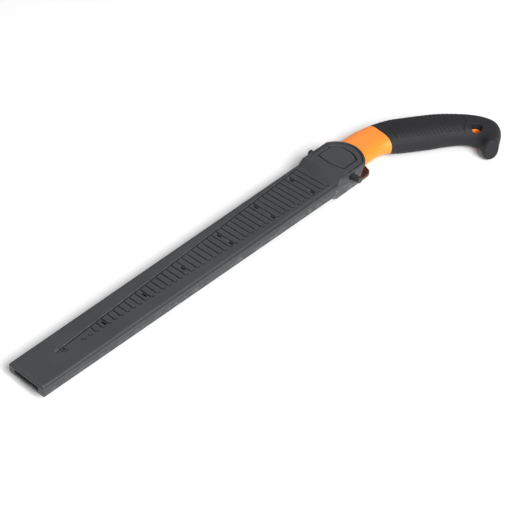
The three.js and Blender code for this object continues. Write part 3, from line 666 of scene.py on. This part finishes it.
def makeThroat():
    # Top: height over plan, its lines drawn in to follow the mouth's arc. Walls hang from the top's
    # rim.
    t = throat
    straight = np.arange(case["splitX"], t["cornerX"], t["spacing"])
    turn = np.linspace(math.asin(throatHalf / mouthRadius), 0, 90)
    arc = mouthCentreX + mouthRadius * np.cos(turn)
    x = np.concatenate([straight, arc])
    share = np.linspace(-1, 1, 171)
    rimShare = np.concatenate([share, [-0.999, -0.994, -0.985, 0.985, 0.994, 0.999]])
    y = throatHalfAt(x)[:, None] * np.sort(rimShare)[None]
    gridX = np.broadcast_to(x[:, None], y.shape)
    top = np.stack([gridX, y, throatTop(gridX, y)], -1)
    patches = [(top, False)]
    # outer walls: down to the seam, to the slanted end of the wall, or to the tongue's underside
    slant = t["roofZ"] - (t["cornerX"] - x) * (t["roofZ"] - padZ) / t["wallSlant"]
    bottom = np.where(x >= t["cornerX"], t["roofZ"], np.maximum(seamZ, slant))
    level = np.linspace(0, 1, 27)[None]
    for side in (0, -1):
        rim = top[:, side]
        z = rim[:, 2:] + (bottom[:, None] - rim[:, 2:]) * level
        wallX = np.broadcast_to(rim[:, :1], z.shape)
        away = np.hypot(wallX - boltX, z - boltZ) - boltRadius - t["boreGap"]
        dip = t["boreDip"] * (1 - smoothStep(-0.12, 0.12, away))
        wallY = rim[:, 1:2] - np.sign(rim[:, 1:2]) * dip
        patches.append((np.stack([wallX, wallY, z], -1), False))
    # the walls' slanted ends and inner faces
    z = np.linspace(seamZ, t["roofZ"], 6)[:, None]
    inner = throatHalf - t["wall"]
    for sign in (-1, 1):
        across = sign * np.linspace(throatHalf, inner, 4)[None]
        patches.append((np.stack(np.broadcast_arrays(mouthEndX(z), across, z), -1), False))
        deep = -12 + (mouthEndX(z) + 12) * np.linspace(0, 1, 5)[None]
        patches.append((np.stack(np.broadcast_arrays(deep, sign * inner, z), -1), False))
        flange = np.array([case["splitX"], mouthEndX(seamZ)])[:, None]
        width = sign * np.array([throatHalf, inner])[None]
        patches.append((np.stack(np.broadcast_arrays(flange, width, seamZ), -1), False))
    # the roof's underside out to the tongue's edge
    under = np.concatenate([[-12, 0, 12, t["cornerX"] - 0.01], arc])
    half = np.where(under < t["cornerX"], inner, throatHalfAt(under))
    roofY = half[:, None] * np.linspace(-1, 1, 9)[None]
    patches.append((np.stack(np.broadcast_arrays(under[:, None], roofY, t["roofZ"]), -1), False))
    mesh = meshOf("front_throat", patches, 28)
    return piece("front_throat", mesh, shellPlastic, "scabbard", "shell_plastic", "front_shell")


def makeBadge():
    # Rings shrinking from the outline to its middle, lying on the throat's crown with a rounded
    # rim.
    b = badge
    loop = badgeLoop(b["joint"])
    centre = loop.mean(0)
    reach = np.linalg.norm(loop - centre, axis=1).mean()
    inset = b["edgeRound"] * (1 - np.cos(np.linspace(0, math.pi / 2, 6)))
    rings = np.concatenate([1 - inset / reach, np.linspace(1 - 1.2 / reach, 0, 18)])
    plan = centre + (loop - centre)[None] * rings[:, None, None]
    fall = np.clip(1 - (1 - rings) * reach / b["edgeRound"], 0, 1)
    drop = b["edgeRound"] * (1 - np.sqrt(1 - fall ** 2))
    z = crownedTop(plan[..., 1]) - b["sink"] - drop[:, None]
    top = np.concatenate([plan, z[..., None]], -1)
    skirt = np.repeat(top[:1], 2, 0)
    skirt[1, :, 2] = crownedTop(loop[:, 1]) - throat["recessDepth"] + 0.02
    floor = np.stack([skirt[1], np.broadcast_to([*centre, skirt[1, :, 2].mean()], skirt[1].shape)])
    mesh = meshOf("badge_plate_face", [(top, True), (skirt, True), (floor, True)], 40)
    return piece("badge_plate_face", mesh, badgePlastic, "scabbard", "badge_plastic", "badge_plate")


makeThroat()
makeBadge()
print("throat and badge made")


# lock bolt

bolt = {
    "edge": 0.9,               # rounded rim
    "dish": 0.35,              # the ends are hollowed a little
    "extraRadius": 0.4,
    "nearReach": 1.4,          # stands out further on the near side
}


def makeBolt():
    # A turned pin: its radius against the way along it, with rounded rims and dished ends.
    radius, edge = boltRadius + bolt["extraRadius"], bolt["edge"]
    low, high = boltLow[1] - bolt["nearReach"], boltHigh[1]
    turn = np.linspace(0, math.pi / 2, 8)
    rim = radius - edge
    inward = np.linspace(0, rim, 6)
    dish = bolt["dish"] * (1 - (inward / rim) ** 2)
    r = np.concatenate([inward, rim + edge * np.sin(turn)[1:]])
    end = np.concatenate([dish, edge * (1 - np.cos(turn))[1:]])
    profileR = np.concatenate([r, r[::-1]])
    profileY = np.concatenate([low + end, high - end[::-1]])
    spin = np.linspace(0, 2 * math.pi, 64, endpoint=False)[None]
    x = boltX + profileR[:, None] * np.cos(spin)
    z = boltZ + profileR[:, None] * np.sin(spin)
    points = np.stack(np.broadcast_arrays(x, profileY[:, None], z), -1)
    mesh = meshOf("cross_bolt", [(points, True)], 50)
    return piece("cross_bolt", mesh, boltPlastic, "lock", "badge_plastic", "lock_bolt")


makeBolt()
print("bolt made")


# handle: orange sleeve and ribbed grip, lofted between its near and far outlines

handle = {
    "near": [(7, -17.9), (22, -17.9), (31, -17.7), (39, -17.5), (47, -17.6), (55, -18.2), (64, -20.3),
             (73.5, -25.6), (88.5, -35.7), (103, -45.2), (113.6, -51.2), (121, -56.2), (128.6, -62.6),
             (132.4, -67.2), (134.6, -71.6), (135.2, -75.6), (134.4, -78.6), (132.6, -81.4), (130.1, -83.9)],
    "far": [(7, 17.9), (22, 17.9), (30, 18.5), (39, 19), (48, 19.1), (59, 18.7), (72, 16.3),
            (84, 11), (104.3, -1.7), (121, -12.4), (133.3, -20.9), (144, -29.6), (154.6, -39.2),
            (163.4, -49.6), (168.8, -60.5), (169.8, -71), (164.8, -80.6), (155, -88), (142.6, -92.9)],
    "tipReach": 4.5,           # the blunt end stands out past the last section
    "tipRound": 3.0,
    "tipFlat": 0.74,           # share of the thickness left on the end face
    "headingX": 0.867,         # the way along the grip
    "headingY": -0.498,
    "flareStart": 48.0,
    "flareEnd": 84.0,
    "noseHalfThick": 7.0,
    "pommelStart": 122.0,
    "pommelEnd": 176.0,
    "pommelHalfThick": 11.0,
    "nearRound": 14.0,         # quarter-ellipse edges, as long as this across the section
    "farRound": 12.0,
    "sideFlat": 0.12,          # share of the half thickness
    "frontX": 71.3,            # the grip's front plane
    "frontY": -4.5,
    "frontNormalX": 0.97,
    "frontNormalY": -0.243,
    "joint": 0.25,
    "roundLimit": 0.45,        # a rounding takes at most this share of the width
}
ribs = {
    "pitch": 3.8,
    "leanX": 1.0,              # the ribs follow one another along (leanX, leanY)
    "leanY": -0.12,
    "height": 0.8,
    "panelStep": 0.8,          # the panel's border line
    "borderWidth": 1.0,
    "nearInset": 2.6,
    "farInset": 1.5,
    "startReach": 8.0,         # behind the grip's front plane
    "endReach": 150.0,
    "eyeClear": 13.0,
}
eye = {"x": 142.0, "y": -67.2, "radius": 5.6, "coreRadius": 5.1, "skin": 7.0, "rim": 1.1,
       "tubeWall": 0.6, "tubeRound": 0.4}


def halfThickness(x, y):
    # Thin in the throat, swelling to the grip and thinning a little to the pommel.
    h = handle
    run = x * h["headingX"] + y * h["headingY"]
    flare = smoothStep(h["flareStart"], h["flareEnd"], run)
    fall = smoothStep(h["pommelStart"], h["pommelEnd"], run)
    full = bladeZ + (h["pommelHalfThick"] - bladeZ) * fall
    return h["noseHalfThick"] + (full - h["noseHalfThick"]) * flare


def outlinePair(perSpan):
    # Near and far outlines as matching smooth lines; past the last section they round over to a
    # blunt end.
    h = handle
    near = curveThrough(h["near"], perSpan)
    far = curveThrough(h["far"], perSpan)
    across = (far[-1] - near[-1]) / np.linalg.norm(far[-1] - near[-1])
    out = np.array([across[1], -across[0]])
    turn = np.linspace(0, math.pi / 2, 10)[1:, None]
    reach = out * (h["tipReach"] - h["tipRound"] + h["tipRound"] * np.sin(turn))
    reach = np.concatenate([out[None] * (h["tipReach"] - h["tipRound"]) * 0.5, reach])
    draw = across * h["tipRound"] * (1 - np.cos(turn))
    draw = np.concatenate([np.zeros((1, 2)), draw])
    nearLine = np.concatenate([near, near[-1] + reach + draw])
    farLine = np.concatenate([far, far[-1] + reach - draw])
    return nearLine, farLine, len(near)


def sectionInsets(width, columns):
    # Insets across a section, close together over the rounded edges; width is the section's own.
    near = np.minimum(handle["nearRound"], width * handle["roundLimit"])[:, None]
    far = np.minimum(handle["farRound"], width * handle["roundLimit"])[:, None]
    turn = 1 - np.cos(np.linspace(0, math.pi / 2, columns // 3))[None]
    flat = np.linspace(0, 1, columns)[1:-1][None]
    wide = width[:, None]
    middle = near + (wide - near - far) * flat
    insets = np.concatenate([near * turn, middle, wide - far * turn[:, ::-1]], 1)
    return insets, near, far


def handleSurface(perSpan, columns, relief):
    # Each section is an oval: low flat sides, quarter-ellipse edges and a gently crowned top,
    # mirrored below.
    near, far, count = outlinePair(perSpan)
    width = np.linalg.norm(far - near, axis=1)
    inset, nearRound, farRound = sectionInsets(width, columns)
    share = inset / width[:, None]
    x = near[:, :1] + (far - near)[:, :1] * share
    y = near[:, 1:] + (far - near)[:, 1:] * share
    ends = np.ones(len(near))
    turn = np.linspace(0, math.pi / 2, 10)[1:]
    ends[count + 1:] = handle["tipFlat"] + (1 - handle["tipFlat"]) * np.cos(turn)
    half = halfThickness(x, y) * ends[:, None]
    fall = np.maximum(1 - inset / nearRound, 1 - (width[:, None] - inset) / farRound)
    rise = np.sqrt(1 - np.clip(fall, 0, 1) ** 2)
    flat = handle["sideFlat"]
    height = half * (flat + (1 - flat) * rise)
    shape = relief(x, y, inset, width[:, None]) * smoothStep(0.9, 1, ends)[:, None]
    top = np.stack([x, y, bladeZ + height + shape], -1)
    below = np.stack([x, y, bladeZ - height - shape], -1)
    return top, below


def behindFront(x, y):
    h = handle
    return (x - h["frontX"]) * h["frontNormalX"] + (y - h["frontY"]) * h["frontNormalY"]


def sleeveRelief(x, y, inset, width):
    # Two soft creases, near the far shoulder and low on the near side, fading out at their ends.
    run = smoothStep(52, 60, x) * (1 - smoothStep(66, 72, x))
    far = np.exp(-((width - inset - 9 - (x - 60) * 0.2) / 0.8) ** 2)
    near = np.exp(-((inset - 2.2) / 0.5) ** 2) * smoothStep(40, 48, x) * (1 - smoothStep(58, 64, x))
    return -0.35 * far * run - 0.5 * near


def gripRelief(x, y, inset, width):
    # A border groove round the panel, and rounded ribs inside it.
    p = ribs
    run = x * handle["headingX"] + y * handle["headingY"]
    panel = np.minimum(inset - p["nearInset"], width - inset - p["farInset"])
    panel = np.minimum(panel, behindFront(x, y) - p["startReach"])
    panel = np.minimum(panel, p["endReach"] - run)
    panel = np.minimum(panel, np.hypot(x - eye["x"], y - eye["y"]) - p["eyeClear"])
    wave = 0.5 + 0.5 * np.cos(2 * math.pi * (x * p["leanX"] + y * p["leanY"]) / p["pitch"])
    raised = smoothStep(0, 1.3, panel) * (wave ** 0.8 - 1) * p["height"]
    line = -p["panelStep"] * (1 - smoothStep(0.15, p["borderWidth"], np.abs(panel + 0.5)))
    return raised + line


def cutAtFront(mesh, keepBehind, offset):
    # Cuts a closed mesh by the grip's front plane, moved by an offset, and fills the cut.
    h = handle
    form = bmesh.new()
    form.from_mesh(mesh)
    normal = Vector((h["frontNormalX"], h["frontNormalY"], 0)).normalized()
    place = Vector((h["frontX"], h["frontY"], bladeZ)) * mm + normal * offset * mm
    everything = form.verts[:] + form.edges[:] + form.faces[:]
    found = bmesh.ops.bisect_plane(form, geom=everything, dist=1e-7, plane_co=place, plane_no=normal,
                                   clear_inner=keepBehind, clear_outer=not keepBehind)
    rim = [e for e in found["geom_cut"] if isinstance(e, bmesh.types.BMEdge)]
    bmesh.ops.holes_fill(form, edges=rim, sides=0)
    bmesh.ops.recalc_face_normals(form, faces=form.faces)
    form.to_mesh(mesh)
    form.free()
    return mesh


def closedHandle(name, perSpan, columns, relief):
    top, below = handleSurface(perSpan, columns, relief)
    ends = [np.linspace(top[k], below[k], 7) for k in (0, -1)]
    sides = [np.linspace(top[:, k], below[:, k], 4).transpose(1, 0, 2) for k in (0, -1)]
    return meshOf(name, [(points, False) for points in (top, below, *ends, *sides)], 35)


def eyeTube():
    # The orange core's ring inside the lanyard eye: a turned wall with rounded rims.
    top = halfThickness(eye["x"], eye["y"]) - eye["skin"]
    turn = np.linspace(-math.pi / 2, math.pi / 2, 9)
    soft = eye["tubeRound"]
    inner = eye["coreRadius"] + soft * (1 - np.cos(turn))
    lift = np.sign(turn) * (top - soft) + soft * np.sin(turn)
    outer = eye["radius"] + eye["tubeWall"]
    r = np.concatenate([inner, [outer, outer], inner[:1]])
    z = bladeZ + np.concatenate([lift, [top, -top], lift[:1]])
    spin = np.linspace(0, 2 * math.pi, 72, endpoint=False)[None]
    return np.stack(np.broadcast_arrays(
        eye["x"] + r[:, None] * np.cos(spin), eye["y"] + r[:, None] * np.sin(spin), z[:, None]), -1)


def makeSleeve():
    body = closedHandle("handle_sleeve", 14, 60, sleeveRelief)
    cutAtFront(body, False, -handle["joint"] / 2)
    ring = meshOf("eye_ring", [(eyeTube(), True)], 35)
    form = bmesh.new()
    form.from_mesh(body)
    form.from_mesh(ring)
    form.to_mesh(body)
    form.free()
    smoothed(body, 35)
    bpy.data.meshes.remove(ring)
    return piece("handle_sleeve", body, orangePlastic, "saw", "core_plastic", "handle_core")


def makeGrip():
    body = closedHandle("grip_skin", 18, 72, gripRelief)
    cutAtFront(body, True, handle["joint"] / 2)
    smoothed(body, 35)
    made = piece("grip_skin", body, rubberSkin, "saw", "grip_rubber", "grip_overmould")
    turn = np.linspace(0, math.pi / 2, 6)
    reach = halfThickness(eye["x"], eye["y"])
    wide = eye["radius"] + eye["rim"] * (1 - np.cos(turn))
    lift = reach - eye["rim"] + eye["rim"] * np.sin(turn)
    r = np.concatenate([[0], [wide[-1] + 2], wide[::-1], wide, [wide[-1] + 2], [0]])
    z = bladeZ + np.concatenate([[-reach - 3, -reach - 3], -lift[::-1], lift, [reach + 3, reach + 3]])
    spin = np.linspace(0, 2 * math.pi, 96, endpoint=False)[None]
    points = np.stack(np.broadcast_arrays(
        eye["x"] + r[:, None] * np.cos(spin), eye["y"] + r[:, None] * np.sin(spin), z[:, None]), -1)
    drill = bpy.data.objects.new("eye_drill", meshOf("eye_drill", [(points, True)], 35))
    bpy.context.scene.collection.objects.link(drill)
    cut = made.modifiers.new("eye", "BOOLEAN")
    cut.object = drill
    cut.operation = "DIFFERENCE"
    cut.solver = "EXACT"
    bpy.context.view_layer.update()
    shaped = bpy.data.meshes.new_from_object(made.evaluated_get(bpy.context.evaluated_depsgraph_get()))
    made.modifiers.clear()
    old = made.data
    made.data = smoothed(shaped, 35)
    made.data.name = "grip_skin"
    bpy.data.meshes.remove(old)
    bpy.data.objects.remove(drill)
    return made


makeSleeve()
makeGrip()
print("handle made")


# pieces finished from the frame's own shapes

def finished(name, node, material, body, slot, bevel, segments=2, angle=28):
    # A merged copy of a frame node with rounded edges.
    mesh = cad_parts[node].data.copy()
    mesh.name = name
    form = bmesh.new()
    form.from_mesh(mesh)
    bmesh.ops.remove_doubles(form, verts=form.verts, dist=1e-6)
    flat = [e for e in form.edges if len(e.link_faces) == 2 and e.calc_face_angle(0) < 1e-3]
    bmesh.ops.dissolve_edges(form, edges=flat, use_verts=False)
    bmesh.ops.dissolve_limit(form, angle_limit=1e-3, verts=form.verts, edges=form.edges)
    form.to_mesh(mesh)
    form.free()
    made = piece(name, mesh, material, body, slot, node)
    soft = made.modifiers.new("edges", "BEVEL")
    soft.width = bevel * mm
    soft.segments = segments
    soft.limit_method = "ANGLE"
    soft.angle_limit = math.radians(angle)
    soft.harden_normals = True
    smoothed(mesh, angle)
    return made


finished("back_case", "back_shell", shellPlastic, "scabbard", "shell_plastic", 0.4)
finished("mouth_lip", "mouth_liner", linerPlastic, "scabbard", "liner_plastic", 0.6, 3)
finished("clip_spring", "belt_clip", shellPlastic, "scabbard", "shell_plastic", 0.45, 3)
finished("blade_plate", "saw_blade", bladeSteel, "saw", "blade_steel", 0.08)
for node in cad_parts:
    if "screw" in node or "insert" in node:
        brassy = "insert" in node
        body = "scabbard" if ("shell" in node or "clip" in node) else "saw"
        finished(node + "_part", node, insertBrass if brassy else screwSteel, body,
                 "insert_brass" if brassy else "screw_steel", 0.12)
print("small pieces finished")


# floor, light and camera

studio = {
    "floorSize": 6.0,
    "keySize": 1.3, "keyPower": 78, "keyPlace": (-0.7, -1.7, 1.5),
    "backSize": 1.6, "backPower": 3, "backPlace": (1.4, 1.2, 1.7),
    "fillSize": 1.2, "fillPower": 2.5, "fillPlace": (-1.8, 0.6, 1.2),
    "skyStrength": 0.42,
    "aim": (-0.08, -0.02, 0.01),
    "floorDrop": 0.0002,
}
camera = {
    "place": (-0.7904, -0.5504, 0.7406),
    "forward": (0.5882, 0.4703, -0.6580),
    "roll": 3.84,
    "lens": 90.7,
}


def makeFloor():
    n = Nodes("floorPaper")
    n.join(n.blend(n.noise(3, 3), (0.93, 0.93, 0.93), (0.95, 0.95, 0.95)), n.shader.inputs["Base Color"])
    n.shader.inputs["Roughness"].default_value = 0.85
    n.shader.inputs["Specular IOR Level"].default_value = 0.15
    half = studio["floorSize"] / 2
    mesh = bpy.data.meshes.new("floor")
    corners = [(-half, -half), (half, -half), (half, half), (-half, half)]
    mesh.from_pydata([(*corner, -studio["floorDrop"]) for corner in corners], [], [(0, 1, 2, 3)])
    mesh.materials.append(n.material)
    floor = bpy.data.objects.new("floor", mesh)
    bpy.context.scene.collection.objects.link(floor)


def makeLight(name, place, size, power):
    lamp = bpy.data.lights.new(name, "AREA")
    lamp.shape = "DISK"
    lamp.size = size
    lamp.energy = power
    holder = bpy.data.objects.new(name, lamp)
    holder.location = place
    aim = Vector(studio["aim"]) - Vector(place)
    holder.rotation_euler = aim.to_track_quat("-Z", "Y").to_euler()
    bpy.context.scene.collection.objects.link(holder)


def makeCamera():
    lens = bpy.data.cameras.new("camera")
    lens.lens = camera["lens"]
    lens.sensor_width = 36
    holder = bpy.data.objects.new("camera", lens)
    turn = Vector(camera["forward"]).to_track_quat("-Z", "Y").to_matrix().to_4x4()
    roll = Matrix.Rotation(math.radians(camera["roll"]), 4, "Z")
    holder.matrix_world = Matrix.Translation(camera["place"]) @ turn @ roll
    bpy.context.scene.collection.objects.link(holder)
    bpy.context.scene.camera = holder


makeFloor()
for lampName in ("key", "back", "fill"):
    makeLight(lampName, studio[lampName + "Place"], studio[lampName + "Size"], studio[lampName + "Power"])
world = bpy.data.worlds.new("studio")
world.use_nodes = True
world.node_tree.nodes["Background"].inputs["Color"].default_value = (1, 1, 1, 1)
world.node_tree.nodes["Background"].inputs["Strength"].default_value = studio["skyStrength"]
bpy.context.scene.world = world
bpy.context.scene.view_settings.view_transform = "Standard"
makeCamera()
print("studio made")
